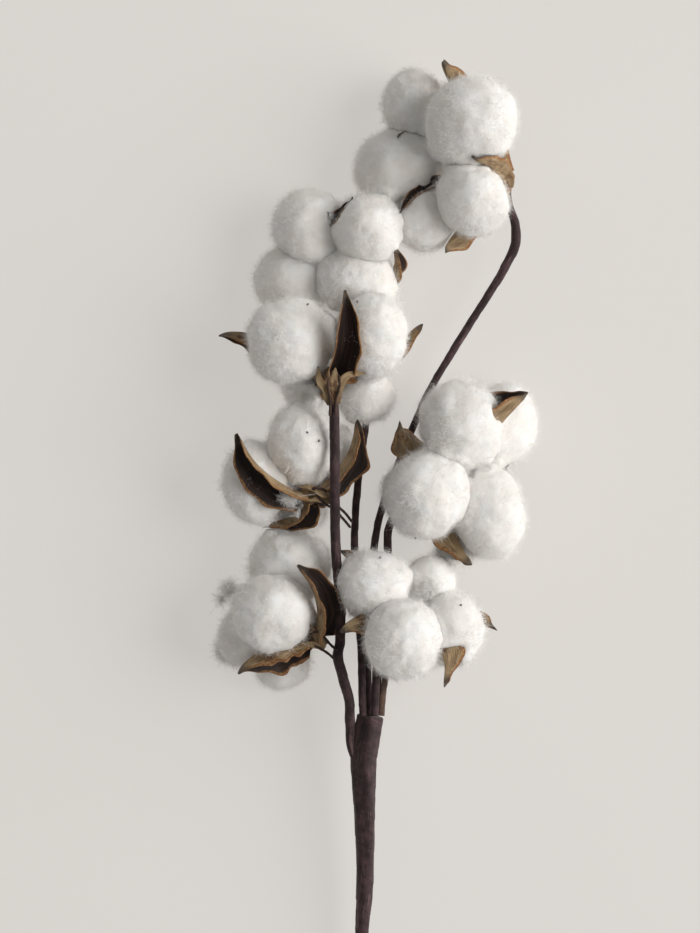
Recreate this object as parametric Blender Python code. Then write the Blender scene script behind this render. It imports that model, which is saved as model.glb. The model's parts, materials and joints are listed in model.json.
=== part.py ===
"""Cotton stem bunch: seven open cotton bolls on wire branches, taped together into one stem.

The bunch lies on a surface at z = 0. +Y runs from the cut end of the stem to the top boll, +Z is up.
Lengths below are in millimetres, and MM turns them into Blender's metres.
"""

import math

import bmesh
import bpy
from mathutils import Vector

MM = 0.001

# Clearances
GAP = 0.3  # between two pieces that touch
LOCK_GAP = 0.2  # from a lock to the plane that parts it from its neighbour

# Cotton locks
LOCK_MERIDIANS = 11
LOCK_RINGS = 7
LOCK_TAIL = 0.28  # share by which a lock reaches further towards the heart of its boll
LOCK_TAIL_POWER = 3  # a higher power makes that reach more pointed
LOCK_NEAR = 1.4  # only locks nearer than this times their two sizes are parted

# Burs
HUSK = 1.0  # thickness of a valve
VALVE_STATIONS = 6
VALVE_COLUMNS = (-1.0, -0.6, 0.0, 0.6, 1.0)
VALVE_CUP = 1.35  # depth of the trough, as a share of the half width
VALVE_ROUND = 1.7  # 1 makes the trough a V, and more makes it a rounder U
VALVE_FOOT = 0.2  # how far along its swelling curve a valve starts
VALVE_POINT = 0.06  # width at the tip, as a share of the widest
VALVE_START = 1.4  # from the centre of the calyx to the foot of a valve
VALVE_CLEAR = 4.0  # cotton stays this far out of the trough of a valve
VALVE_ROOM = 0.4  # and this far from its edges
CALYX = (4.4, 4.4, 3.4)  # half sizes of the knob that the valves grow from
CALYX_MERIDIANS = 9
CALYX_RINGS = 6

# Branches
STEM_SIDES = 8
WIRE_SIDES = 6
WIRE = 0.55  # radius of the florist's wire
PATH_STEP = 6.0  # length of one straight piece of a branch
WIRE_STEP = 3.0

SHARP_EDGE = 50  # degrees between faces from which an edge looks sharp

# Colours of the pieces, with roughness
FINISHES = {
    "cotton": ((0.88, 0.86, 0.83), 0.95),
    "husk": ((0.16, 0.08, 0.04), 0.65),
    "tape": ((0.11, 0.07, 0.07), 0.75),
    "wire": ((0.10, 0.06, 0.04), 0.5),
}

# Each lock: centre x, y, z, then half its width, length and depth.
# Each valve grows from the calyx: the middle and tip of its keel, the way that its trough opens, and
# half its greatest width.
BOLLS = {
    "top": {
        "calyx": (50, 195, 27),
        "heart": (27, 202, 28),
        "locks": (
            (38.4, 217, 41, 18.6, 18.2, 18.0),
            (14.8, 225, 16, 12.6, 15.6, 14.0),
            (8, 198.6, 16, 17.0, 16.8, 17.0),
            (38.8, 185.4, 39, 14.4, 14.6, 14.5),
            (19.6, 178.4, 25, 11.5, 14.0, 13.5),
        ),
        "valves": (
            ((34, 225, 25), (26.4, 239.2, 36), (0.2, 0.75, -0.55), 5.8),
            ((46.5, 197.2, 43), (37.2, 200.2, 51), (0.45, 0.35, -0.75), 3.4),
            ((33, 175, 29), (27, 165.8, 35), (0.35, -0.8, -0.45), 4.8),
            ((22, 190, 28), (9.2, 179.4, 35), (-0.45, 0.4, 0.75), 2.8),
            ((22, 212, 20), (7, 211.5, 28), (-0.3, 0.2, 0.9), 2.8),
        ),
    },
    "upper_left": {
        "calyx": (-18.5, 115, 38.5),
        "heart": (-17, 131, 34),
        "locks": (
            (-35.4, 128.8, 41, 17.0, 17.6, 16.5),
            (-1.2, 131.2, 41, 13.2, 17.8, 15.0),
            (-4.8, 107.6, 25, 12.6, 12.0, 12.0),
            (-28.8, 111.6, 25, 10.5, 10.5, 11.0),
        ),
        "valves": (
            ((-13.4, 129, 51.5), (-13.0, 148.4, 56), (0.25, 0, 0.97), 5.6),
            ((-42, 130, 24), (-63.8, 132.4, 37), (-0.5, -0.8, 0.25), 7.4),
            ((4.5, 126.5, 26), (17, 136.6, 41), (0.7, -0.7, 0), 4.8),
            ((-18, 111, 28), (-17, 110, 16), (0, -1, 0.1), 3.6),
        ),
    },
    "upper_back": {
        "calyx": (-18, 161, 7),
        "heart": (-18, 163, 22),
        "locks": (
            (-3.6, 173.8, 33, 14.2, 14.6, 14.0),
            (-27.2, 175.2, 20, 15.4, 16.4, 15.5),
            (-7.8, 153.4, 26, 16.6, 14.0, 14.0),
            (-34.0, 154.4, 14, 15.4, 16.4, 15.0),
        ),
        "valves": (
            ((-15, 175, 28), (-8.6, 185.8, 38), (-0.65, 0.45, 0.6), 2.8),
            ((3.6, 156.6, 24), (5.6, 167.4, 36), (0.9, -0.2, 0.3), 3.6),
            ((-30, 165, 8), (-35, 165, 14), (-1, 0.2, 0.1), 3.6),
            ((-24, 151, 8), (-25, 147, 14), (0, -1, 0.1), 3.6),
        ),
    },
    "middle_left": {
        "calyx": (-27.5, 67, 37),
        "heart": (-31, 76, 27),
        "locks": (
            (-30.4, 87.4, 33, 14.2, 17.4, 14.5),
            (-48, 73, 28, 14.2, 17.4, 15.0),
            (-17, 84, 18, 10.0, 11.5, 11.0),
            (-32, 61.6, 16, 12.5, 11.5, 12.5),
        ),
        "valves": (
            ((-46.2, 77.5, 41.5), (-54.9, 92.4, 45), (-0.6, -0.3, 0.74), 6.2),
            ((-12.8, 82, 31), (-9.2, 97.8, 35), (0.85, -0.15, 0.45), 5.6),
            ((-33, 59.5, 30), (-46, 56, 23), (0.35, -0.8, 0.4), 4.8),
            ((-21, 70, 20), (-22, 73, 8), (0.8, -0.5, 0), 3.8),
        ),
    },
    "lower_left": {
        "calyx": (-24.6, 10.8, 32),
        "heart": (-40, 17, 26),
        "locks": (
            (-41.6, 19.8, 34, 17.0, 17.0, 16.5),
            (-34.6, 39.2, 22, 17.2, 16.0, 15.5),
            (-52.6, 9.6, 19, 12.2, 13.0, 13.0),
            (-38.8, -0.6, 11, 12.0, 11.5, 12.0),
        ),
        "valves": (
            ((-24.6, 27.5, 40), (-32.6, 38.8, 44), (0.6, 0.3, 0.75), 6.4),
            ((-42, 7.5, 30), (-56.8, -3, 36), (0.1, -0.93, 0.3), 7.8),
            ((-40, 28, 12), (-53, 27, 14), (-0.2, 0.7, -0.6), 3.8),
            ((-41, 3, 15), (-52, 0, 9), (-0.3, -0.5, -0.8), 3.8),
        ),
    },
    "right": {
        "calyx": (35, 77, 9),
        "heart": (38, 78, 28),
        "locks": (
            (33.6, 96.2, 38, 17.4, 17.4, 17.5),
            (19.2, 66.8, 43, 17.2, 18.0, 17.0),
            (45, 59, 34, 14.5, 19.0, 15.5),
            (52.4, 96.4, 13, 13.0, 17.0, 14.2),
            (33, 47, 24, 9.5, 9.5, 10.0),
        ),
        "valves": (
            ((15.8, 85, 32), (9.8, 96, 43), (-0.8, 0.5, -0.2), 5.8),
            ((50.5, 96.8, 38), (60, 106.8, 43), (-0.65, 0.65, 0.35), 7.0),
            ((32.5, 52.5, 32), (38.4, 41.4, 41), (-0.5, -0.8, 0.05), 6.0),
            ((48, 78, 12), (51, 78, 18.5), (0.9, 0, -0.2), 3.6),
            ((21, 60, 13), (17, 51, 21), (-0.5, -0.6, -0.5), 3.8),
        ),
    },
    "lower_right": {
        "calyx": (13, 20, 18),
        "heart": (14, 21, 34),
        "locks": (
            (-1.4, 31.4, 38, 16.4, 14.8, 14.0),
            (10.4, 10.2, 48, 16.2, 16.6, 15.5),
            (29.2, 13.8, 37, 13.8, 15.6, 15.0),
            (21.2, 32.4, 31, 11.0, 11.0, 11.5),
        ),
        "valves": (
            ((-4, 20.5, 44), (-15.4, 13.4, 51), (-0.5, -0.75, 0.35), 6.8),
            ((25.2, 6.5, 46), (25.4, -8.6, 50), (0.7, -0.6, 0.3), 6.0),
            ((35, 19, 21), (46.6, 13.6, 31), (0.5, 0, -0.8), 3.4),
            ((-2, 37, 22), (-14, 44.2, 33), (-0.5, 0.5, -0.7), 3.6),
        ),
    },
}

# Each branch runs down through x, y, z with its radius there.
STEMS = {
    "upper_left_stem": (
        (-18.2, 111.5, 42, 1.9),
        (-17.2, 103, 46, 2.0),
        (-16.8, 81, 46.5, 2.0),
        (-16.8, 67, 45, 2.0),
        (-16.4, 45, 41, 2.0),
        (-14.6, 23, 36.5, 2.0),
        (-14.8, 9.4, 33.5, 2.0),
        (-15.6, 2.2, 31.5, 2.1),
        (-13.6, -6, 29, 2.1),
        (-11.2, -15, 27, 2.0),
        (-10.8, -23, 25.6, 2.0),
        (-10.4, -32, 24.2, 2.0),
        (-8.4, -40, 23.2, 1.8),
    ),
    "upper_back_stem": (
        (-17.6, 157.4, 6, 1.5),
        (-15, 146, 5.6, 1.5),
        (-9, 128, 6.4, 1.5),
        (-4, 108, 9, 1.5),
        (-4.6, 95, 12, 1.5),
        (-7.6, 72, 17, 1.5),
        (-9, 49, 21, 1.5),
        (-8, 28, 23, 1.5),
        (-6.4, 6, 25, 1.5),
        (-6, -10, 25.6, 1.5),
        (-5.6, -21.6, 25.6, 1.5),
    ),
    "top_stem": (
        (52.6, 192.4, 25.6, 1.2),
        (53.6, 183.8, 24, 1.4),
        (56, 175.4, 22.4, 1.9),
        (55.6, 167.4, 21.4, 2.0),
        (51.6, 159, 20.4, 1.8),
        (47.2, 151.4, 19.6, 1.6),
        (33.2, 129.4, 17, 1.5),
        (20.4, 107.4, 14.4, 1.5),
        (10.5, 84, 13.6, 1.5),
        (2.4, 62.6, 15.2, 1.5),
        (-1.2, 44.6, 17.4, 1.5),
        (-3.6, 9.4, 20.4, 1.5),
        (-3.2, -21.6, 21.4, 1.5),
    ),
    "right_stem": (
        (32.6, 76, 8.6, 1.5),
        (20, 69, 9, 1.5),
        (9.6, 61.4, 12.6, 1.5),
        (4.8, 53.6, 17, 1.6),
        (4.4, 43, 20, 1.6),
        (2.4, 25, 23, 1.6),
        (0.6, 9.4, 25.4, 1.6),
        (-0.4, -8, 26.6, 1.6),
        (-1, -21.6, 26.4, 1.6),
    ),
    "lower_right_stem": (
        (11.6, 17, 17.2, 1.7),
        (7.6, 8, 18.6, 1.8),
        (3.6, -4, 21.6, 1.8),
        (2, -13, 22.6, 1.8),
        (1.2, -21.6, 22.6, 1.8),
    ),
}
MAIN_STEM = (
    (-2.4, -22, 24, 5.4),
    (-4.2, -32, 23, 5.5),
    (-5.2, -40, 22.2, 5.3),
    (-4.9, -58, 20.4, 4.4),
    (-4.6, -80, 18, 3.6),
    (-5, -95, 16.4, 3.4),
    (-5.9, -108, 15, 2.8),
    (-6.8, -135, 12.2, 2.5),
    (-6.5, -170, 8.8, 2.5),
    (-5, -205, 5.4, 2.5),
    (-3, -240, 2.3, 2.5),
)

# Each wire is a hairpin: out along a branch, round through the calyx and back.
WIRES = {
    "upper_left_wire": (
        (-18.8, 99, 49.2),
        (-18.6, 105, 49.8),
        (-19.6, 110.5, 51),
        (-19.2, 114.5, 50.4),
        (-17.4, 116.6, 48.4),
        (-15.4, 114.5, 50.4),
        (-15, 110.5, 51),
        (-16.4, 105, 49.8),
        (-16.6, 100, 49.2),
    ),
    "middle_left_wire": (
        (-10.8, 54.4, 24.4),
        (-13.4, 57.6, 30),
        (-17.4, 61.8, 36),
        (-21.4, 64.6, 42),
        (-25.4, 69.8, 42.8),
        (-21, 69.4, 42.4),
        (-17.6, 64.6, 37.6),
        (-13, 60.4, 31.6),
        (-10.2, 56.8, 25.6),
    ),
    "lower_left_wire": (
        (-16.8, 1.6, 34.6),
        (-20.4, 4.6, 35.2),
        (-26.6, 8.4, 35.8),
        (-26.4, 11.8, 37),
        (-23, 12.6, 37.2),
        (-19, 8, 35.8),
        (-16, 5.2, 35.2),
    ),
}


def clear_scene():
    for obj in list(bpy.data.objects):
        bpy.data.objects.remove(obj)


def make_finish(name):
    """A Principled material in the colour and roughness of one finish."""
    colour, roughness = FINISHES[name]
    material = bpy.data.materials.new(name)
    material.use_nodes = True
    shader = material.node_tree.nodes["Principled BSDF"]
    shader.inputs["Base Color"].default_value = (*colour, 1)
    shader.inputs["Roughness"].default_value = roughness
    shader.inputs["Metallic"].default_value = 0
    return material


def make_object(name, points, faces):
    """An object from points in millimetres, with its faces turned outwards."""
    mesh = bpy.data.meshes.new(name)
    mesh.from_pydata([Vector(p) * MM for p in points], [], faces)
    shell = bmesh.new()
    shell.from_mesh(mesh)
    bmesh.ops.recalc_face_normals(shell, faces=shell.faces)
    shell.to_mesh(mesh)
    shell.free()
    obj = bpy.data.objects.new(name, mesh)
    bpy.context.scene.collection.objects.link(obj)
    return obj


def make_helper(name, points, faces):
    """A cutter, which is not a piece of the bunch."""
    obj = make_object(name, points, faces)
    obj.hide_render = True
    obj.display_type = "WIRE"
    return obj


def smooth_path(points, step):
    """Points every `step` or less on a Catmull-Rom curve through the given ones."""
    points = [Vector(p) for p in points]
    ends = [2 * points[0] - points[1], *points, 2 * points[-1] - points[-2]]
    path = []
    for a, b, c, d in zip(ends, ends[1:], ends[2:], ends[3:]):
        count = max(1, round((c - b).length / step))
        for i in range(count):
            t = i / count
            linear, square, cube = c - a, 2 * a - 5 * b + 4 * c - d, 3 * b - 3 * c + d - a
            path.append(0.5 * (2 * b + linear * t + square * t**2 + cube * t**3))
    return [*path, points[-1]]


def tube(path, sides):
    """Points and faces of a round bar along (x, y, z, radius), with flat ends, kept above z = 0."""
    centres = [Vector(p[:3]) for p in path]
    across = Vector((0, 0, 1))
    points = []
    for i, centre in enumerate(centres):
        along = (centres[min(i + 1, len(centres) - 1)] - centres[max(i - 1, 0)]).normalized()
        across = (across - across.dot(along) * along).normalized()
        beside = along.cross(across)
        for k in range(sides):
            turn = 2 * math.pi * k / sides
            spoke = math.cos(turn) * across + math.sin(turn) * beside
            point = centre + path[i][3] * spoke
            point.z = max(point.z, 0)
            points.append(point)
    faces = [tuple(range(sides)), tuple(range(len(points) - sides, len(points)))]
    for i in range(len(centres) - 1):
        for k in range(sides):
            here, there = i * sides + k, i * sides + (k + 1) % sides
            faces.append((here, there, there + sides, here + sides))
    return points, faces


def fatter(path, by):
    """The same path with a larger radius, and longer by as much at both ends."""
    wide = [Vector((*p[:3], p[3] + by)) for p in path]
    for end, inner in ((0, 1), (-1, -2)):
        reach = Vector(wide[end][:3]) - Vector(wide[inner][:3])
        moved = Vector(wide[end][:3]) + by * reach.normalized()
        wide[end] = Vector((*moved, wide[end][3]))
    return wide


def ball(centre, half, meridians, rings, reach=None):
    """Points and faces of an ellipsoid. `reach` maps a unit direction to a radial factor."""
    centre = Vector(centre)
    points = []
    for j in range(1, rings):
        polar = math.pi * j / rings
        for k in range(meridians):
            turn = 2 * math.pi * k / meridians
            way = Vector(
                (math.sin(polar) * math.cos(turn), math.sin(polar) * math.sin(turn), math.cos(polar))
            )
            points.append(way)
    points += [Vector((0, 0, 1)), Vector((0, 0, -1))]
    north, south = len(points) - 2, len(points) - 1
    faces = []
    for k in range(meridians):
        after = (k + 1) % meridians
        faces.append((north, k, after))
        last = (rings - 2) * meridians
        faces.append((south, last + after, last + k))
        for j in range(rings - 2):
            row = j * meridians
            faces.append((row + k, row + meridians + k, row + meridians + after, row + after))
    placed = []
    for way in points:
        factor = reach(way) if reach else 1
        placed.append(centre + factor * Vector(w * h for w, h in zip(way, half)))
    return placed, faces


def valve_width(t):
    """Half width of a valve at t from foot to tip, as a share of its widest."""
    swell = math.sin(math.pi * min(1, VALVE_FOOT + (1 - VALVE_FOOT) * t))
    return VALVE_POINT + (1 - VALVE_POINT) * swell


def valve_sheet(boll, valve, spread=0.0, lift=0.0):
    """Rows of points across a boat-shaped valve. Its keel is nearest the heart of the boll."""
    knob = Vector(boll["calyx"])
    middle, tip, opening, half_width = Vector(valve[0]), Vector(valve[1]), Vector(valve[2]), valve[3]
    foot = knob + VALVE_START * (middle - knob).normalized()
    pull = 2 * middle - (foot + tip) / 2
    beside = (tip - foot).cross(opening).normalized()
    rows = []
    for i in range(VALVE_STATIONS + 1):
        t = i / VALVE_STATIONS
        centre = (1 - t) ** 2 * foot + 2 * t * (1 - t) * pull + t**2 * tip
        along = (2 * (1 - t) * (pull - foot) + 2 * t * (tip - pull)).normalized()
        out = beside.cross(along).normalized()
        width = half_width * valve_width(t)
        row = []
        for v in VALVE_COLUMNS:
            rise = VALVE_CUP * width * abs(v) ** VALVE_ROUND + lift
            row.append(centre + v * (width + spread) * beside + rise * out)
        rows.append(row)
    return rows


def close_sheet(inner, outer):
    """Points and faces of the closed shell between two sheets of rows."""
    count = len(VALVE_COLUMNS)
    points = [p for row in inner for p in row] + [p for row in outer for p in row]
    half = len(points) // 2
    faces = []
    for i in range(len(inner) - 1):
        for k in range(count - 1):
            a, b = i * count + k, i * count + k + 1
            faces.append((a, b, b + count, a + count))
            faces.append((half + a, half + a + count, half + b + count, half + b))
    rim = list(range(count))
    rim += [i * count + count - 1 for i in range(1, len(inner))]
    rim += [half - 1 - k for k in range(1, count)]
    rim += [i * count for i in range(len(inner) - 2, 0, -1)]
    for a, b in zip(rim, rim[1:] + rim[:1]):
        faces.append((a, a + half, b + half, b))
    return points, faces


def valve_shell(boll, valve):
    return close_sheet(valve_sheet(boll, valve), valve_sheet(boll, valve, lift=HUSK))


def valve_room(boll, valve):
    """The room that cotton leaves for a valve: all round it, and clear of its trough."""
    inner = valve_sheet(boll, valve, spread=VALVE_ROOM, lift=-GAP)
    return close_sheet(inner, valve_sheet(boll, valve, spread=VALVE_ROOM, lift=HUSK + VALVE_CLEAR))


def largest_island(mesh):
    """Drops every loose crumb that a cut leaves, and keeps the largest piece."""
    shell = bmesh.new()
    shell.from_mesh(mesh)
    unseen = set(shell.verts)
    islands = []
    while unseen:
        island, edge = set(), [unseen.pop()]
        while edge:
            vert = edge.pop()
            island.add(vert)
            near = {e.other_vert(vert) for e in vert.link_edges} & unseen
            unseen -= near
            edge += near
        islands.append(island)
    keep = max(islands, key=len)
    bmesh.ops.delete(shell, geom=[v for v in shell.verts if v not in keep], context="VERTS")
    shell.to_mesh(mesh)
    shell.free()


def apply_boolean(obj, others, operation):
    """Joins or cuts with all the others at once, then keeps the largest piece."""
    group = bpy.data.collections.new("cutters")
    for other in others:
        group.objects.link(other)
    modifier = obj.modifiers.new("shape", "BOOLEAN")
    modifier.operation = operation
    modifier.solver = "EXACT"
    modifier.operand_type = "COLLECTION"
    modifier.collection = group
    bpy.context.view_layer.update()
    graph = bpy.context.evaluated_depsgraph_get()
    result = bpy.data.meshes.new_from_object(obj.evaluated_get(graph))
    obj.modifiers.clear()
    bpy.data.collections.remove(group)
    obj.data = result
    largest_island(result)


def boxes_meet(first, second):
    a = [first.matrix_world @ Vector(c) for c in first.bound_box]
    b = [second.matrix_world @ Vector(c) for c in second.bound_box]
    for axis in range(3):
        if max(p[axis] for p in a) < min(p[axis] for p in b):
            return False
        if max(p[axis] for p in b) < min(p[axis] for p in a):
            return False
    return True


def carve(obj, cutters):
    near = [cutter for cutter in cutters if boxes_meet(obj, cutter)]
    if near:
        apply_boolean(obj, near, "DIFFERENCE")


def finish(obj, material):
    obj.data.name = obj.name
    obj.data.materials.clear()
    obj.data.materials.append(material)
    obj.data.shade_smooth()
    obj.data.set_sharp_from_angle(angle=math.radians(SHARP_EDGE))


def make_stems(material):
    """The five branches and the main stem, and the room that each takes."""
    cutters = []
    paths = {name: smooth_path(points, PATH_STEP) for name, points in STEMS.items()}
    main_path = smooth_path(MAIN_STEM, PATH_STEP)
    main = make_object("main_stem", *tube(main_path, STEM_SIDES))
    finish(main, material)
    main_room = make_helper("main_room", *tube(fatter(main_path, GAP), STEM_SIDES))
    for name, path in paths.items():
        stem = make_object(name, *tube(path, STEM_SIDES))
        cutters.append(make_helper(name + "_room", *tube(fatter(path, GAP), STEM_SIDES)))
        carve(stem, [main_room])
        finish(stem, material)
    return [main_room, *cutters]


def make_wires(material, stem_rooms):
    rooms = []
    for name, points in WIRES.items():
        path = [Vector((*p, WIRE)) for p in smooth_path(points, WIRE_STEP)]
        wire = make_object(name, *tube(path, WIRE_SIDES))
        carve(wire, stem_rooms)
        finish(wire, material)
        rooms.append(make_helper(name + "_room", *tube(fatter(path, GAP), WIRE_SIDES)))
    return rooms


def make_bur(name, boll, material, taken):
    """The dry calyx with its valves, as one piece, and the room that it takes."""
    bur = make_object(name + "_boll_bur", *ball(boll["calyx"], CALYX, CALYX_MERIDIANS, CALYX_RINGS))
    valves = []
    for i, valve in enumerate(boll["valves"]):
        valves.append(make_helper(f"{name}_valve_{i}", *valve_shell(boll, valve)))
    apply_boolean(bur, valves, "UNION")
    carve(bur, taken)
    finish(bur, material)
    for valve in valves:
        bpy.data.objects.remove(valve)
    wide = [half + GAP for half in CALYX]
    room = ball(boll["calyx"], wide, CALYX_MERIDIANS, CALYX_RINGS)
    rooms = [make_helper(name + "_calyx_room", *room)]
    for i, valve in enumerate(boll["valves"]):
        rooms.append(make_helper(f"{name}_valve_room_{i}", *valve_room(boll, valve)))
    return rooms


def part_locks(points, lock, others):
    """Pulls a lock's points towards its centre until they lie on its side of every neighbour."""
    centre, size = Vector(lock[:3]), sum(lock[3:]) / 3
    walls = [(Vector((0, 0, -1)), centre.z)]
    for other in others:
        away = Vector(other[:3]) - centre
        reach = sum(other[3:]) / 3
        distance = away.length
        if distance > LOCK_NEAR * (size + reach):
            continue
        wall = (distance**2 + size**2 - reach**2) / (2 * distance) - LOCK_GAP
        walls.append((away.normalized(), wall))
    for point in points:
        for normal, wall in walls:
            spoke = point - centre
            height = spoke.dot(normal)
            if height > wall:
                point.xyz = centre + spoke * (wall / height)


def make_locks(name, boll, material, taken):
    heart = Vector(boll["heart"])
    every = [lock for other in BOLLS.values() for lock in other["locks"]]
    for i, lock in enumerate(boll["locks"]):
        inward = (heart - Vector(lock[:3])).normalized()

        def reach(way, inward=inward):
            return 1 + LOCK_TAIL * max(0, way.dot(inward)) ** LOCK_TAIL_POWER

        points, faces = ball(lock[:3], lock[3:], LOCK_MERIDIANS, LOCK_RINGS, reach)
        part_locks(points, lock, [other for other in every if other != lock])
        obj = make_object(f"{name}_boll_lock_{i + 1}", points, faces)
        carve(obj, taken)
        finish(obj, material)


def main():
    clear_scene()
    finishes = {name: make_finish(name) for name in FINISHES}
    taken = make_stems(finishes["tape"])
    taken += make_wires(finishes["wire"], taken)
    bur_rooms = []
    for name, boll in BOLLS.items():
        bur_rooms += make_bur(name, boll, finishes["husk"], taken)
    for name, boll in BOLLS.items():
        make_locks(name, boll, finishes["cotton"], taken + bur_rooms)
    for obj in list(bpy.data.objects):
        if obj.hide_render:
            bpy.data.objects.remove(obj)


main()
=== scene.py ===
import json
import math

import bmesh
import bpy
import numpy as np
from mathutils import Euler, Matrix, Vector, noise
from mathutils.bvhtree import BVHTree

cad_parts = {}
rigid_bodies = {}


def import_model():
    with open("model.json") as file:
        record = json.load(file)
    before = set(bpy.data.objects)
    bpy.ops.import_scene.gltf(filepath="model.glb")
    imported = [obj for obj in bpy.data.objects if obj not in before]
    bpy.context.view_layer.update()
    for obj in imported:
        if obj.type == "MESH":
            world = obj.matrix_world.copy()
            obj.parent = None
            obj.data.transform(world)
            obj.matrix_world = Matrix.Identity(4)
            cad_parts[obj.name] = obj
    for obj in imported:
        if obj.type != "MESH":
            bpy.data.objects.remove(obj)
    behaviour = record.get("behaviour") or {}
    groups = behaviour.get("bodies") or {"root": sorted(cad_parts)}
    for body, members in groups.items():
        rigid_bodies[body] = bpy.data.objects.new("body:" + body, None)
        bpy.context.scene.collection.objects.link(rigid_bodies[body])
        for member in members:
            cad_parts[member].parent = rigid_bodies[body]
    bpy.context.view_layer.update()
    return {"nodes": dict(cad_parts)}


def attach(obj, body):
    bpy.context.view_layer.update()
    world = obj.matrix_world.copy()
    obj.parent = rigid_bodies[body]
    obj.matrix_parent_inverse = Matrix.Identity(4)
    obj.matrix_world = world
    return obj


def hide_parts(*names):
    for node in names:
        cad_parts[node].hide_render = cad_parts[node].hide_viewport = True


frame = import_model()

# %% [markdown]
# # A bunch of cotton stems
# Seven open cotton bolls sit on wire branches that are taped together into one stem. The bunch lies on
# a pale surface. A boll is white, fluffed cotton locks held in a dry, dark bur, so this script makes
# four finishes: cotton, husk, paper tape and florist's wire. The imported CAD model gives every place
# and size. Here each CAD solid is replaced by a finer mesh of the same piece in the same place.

MM = 0.001
NODES = frame["nodes"]

# %% [markdown]
# ## Helpers for node trees
# Materials and Geometry Nodes are both trees of nodes. Wiring them by hand takes four lines a node, so
# one helper adds a node, sets its choices and plugs in its inputs. A plugged value is either a plain
# number or another node's output.

# %% Node helpers
def add_node(tree, kind, wired=None, **choices):
    """Adds a node. `wired` gives its inputs by name or number, as values or as other nodes' outputs."""
    made = tree.nodes.new(kind)
    for key, value in choices.items():
        setattr(made, key, value)
    for key, value in (wired or {}).items():
        socket = made.inputs[key]
        if isinstance(value, bpy.types.NodeSocket):
            tree.links.new(value, socket)
        else:
            socket.default_value = value
    return made


def calculate(tree, operation, first, second=0.0, third=0.0):
    """The output of one Math node."""
    return add_node(
        tree, "ShaderNodeMath", {0: first, 1: second, 2: third}, operation=operation
    ).outputs[0]


def mix_colours(tree, factor, first, second):
    """The colour output of one Mix node. Its colour sockets are numbers 6 and 7."""
    made = add_node(tree, "ShaderNodeMix", data_type="RGBA")
    for index, value in ((0, factor), (6, first), (7, second)):
        if isinstance(value, bpy.types.NodeSocket):
            tree.links.new(value, made.inputs[index])
        else:
            made.inputs[index].default_value = value
    return made.outputs[2]


def ramp(tree, value, low, high):
    """0 below `low`, 1 above `high`, and a smooth step between."""
    return add_node(
        tree,
        "ShaderNodeMapRange",
        {"Value": value, "From Min": low, "From Max": high},
        interpolation_type="SMOOTHSTEP",
    ).outputs[0]


def colour(red, green, blue):
    """An opaque colour."""
    return (red, green, blue, 1.0)


def object_place(tree):
    """The point being shaded, in the piece's own coordinates, which are metres."""
    return add_node(tree, "ShaderNodeTexCoord").outputs["Object"]


# %% [markdown]
# ## A shared effect: streaks
# Fibres, ridges, creases and stains are all noise on stretched coordinates. That is one shader group,
# which each material places with its own stretch and scale.

# %% A shader group for streaks
def make_streaks_group():
    """Noise on stretched coordinates: the fibres, ridges and creases of everything dry or wound."""
    tree = bpy.data.node_groups.new("Streaks", "ShaderNodeTree")
    for label, kind, default in (
        ("Vector", "NodeSocketVector", (0, 0, 0)),
        ("Stretch", "NodeSocketVector", (1, 1, 1)),
        ("Scale", "NodeSocketFloat", 1.0),
        ("Detail", "NodeSocketFloat", 4.0),
    ):
        socket = tree.interface.new_socket(label, in_out="INPUT", socket_type=kind)
        socket.default_value = default
    tree.interface.new_socket("Value", in_out="OUTPUT", socket_type="NodeSocketFloat")
    start = tree.nodes.new("NodeGroupInput")
    end = tree.nodes.new("NodeGroupOutput")
    stretched = add_node(
        tree,
        "ShaderNodeVectorMath",
        {0: start.outputs["Vector"], 1: start.outputs["Stretch"]},
        operation="MULTIPLY",
    )
    grain = add_node(
        tree,
        "ShaderNodeTexNoise",
        {
            "Vector": stretched.outputs[0],
            "Scale": start.outputs["Scale"],
            "Detail": start.outputs["Detail"],
            "Roughness": 0.6,
        },
    )
    tree.links.new(grain.outputs[0], end.inputs["Value"])
    return tree


STREAKS = make_streaks_group()
print("shader group:", STREAKS.name)


def streaks(tree, vector, stretch, scale, detail=4.0):
    """The output of one Streaks node."""
    made = add_node(tree, "ShaderNodeGroup", node_tree=STREAKS)
    tree.links.new(vector, made.inputs["Vector"])
    for label, value in (("Stretch", stretch), ("Scale", scale), ("Detail", detail)):
        made.inputs[label].default_value = value
    return made.outputs["Value"]


def start_material(name, **values):
    """A Principled material. `values` are set on the shader's own sockets."""
    material = bpy.data.materials.new(name)
    material.use_nodes = True
    tree = material.node_tree
    shader = tree.nodes["Principled BSDF"]
    for key, value in values.items():
        shader.inputs[key.replace("_", " ")].default_value = value
    return material, tree, shader


def add_bump(tree, shader, height, strength, distance):
    bump = add_node(
        tree, "ShaderNodeBump", {"Height": height, "Strength": strength, "Distance": distance}
    )
    tree.links.new(bump.outputs[0], shader.inputs["Normal"])


def drive_roughness(tree, shader, value, low, high):
    """Roughness from `low` to `high` as the value goes from 0 to 1."""
    spread = add_node(tree, "ShaderNodeMapRange", {"Value": value, "To Min": low, "To Max": high})
    tree.links.new(spread.outputs[0], shader.inputs["Roughness"])


def read_attribute(tree, name):
    return add_node(tree, "ShaderNodeAttribute", attribute_name=name)


# %% [markdown]
# ## Cotton
# A lock of cotton has no hard surface. Light enters it, bounces between the fibres and leaves again, so
# the body uses subsurface scattering and a little sheen. Its bump is two noises: small lumps, and
# fine threads. The loose fibres that stand out of it are real strips, with a plain soft finish.

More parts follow.
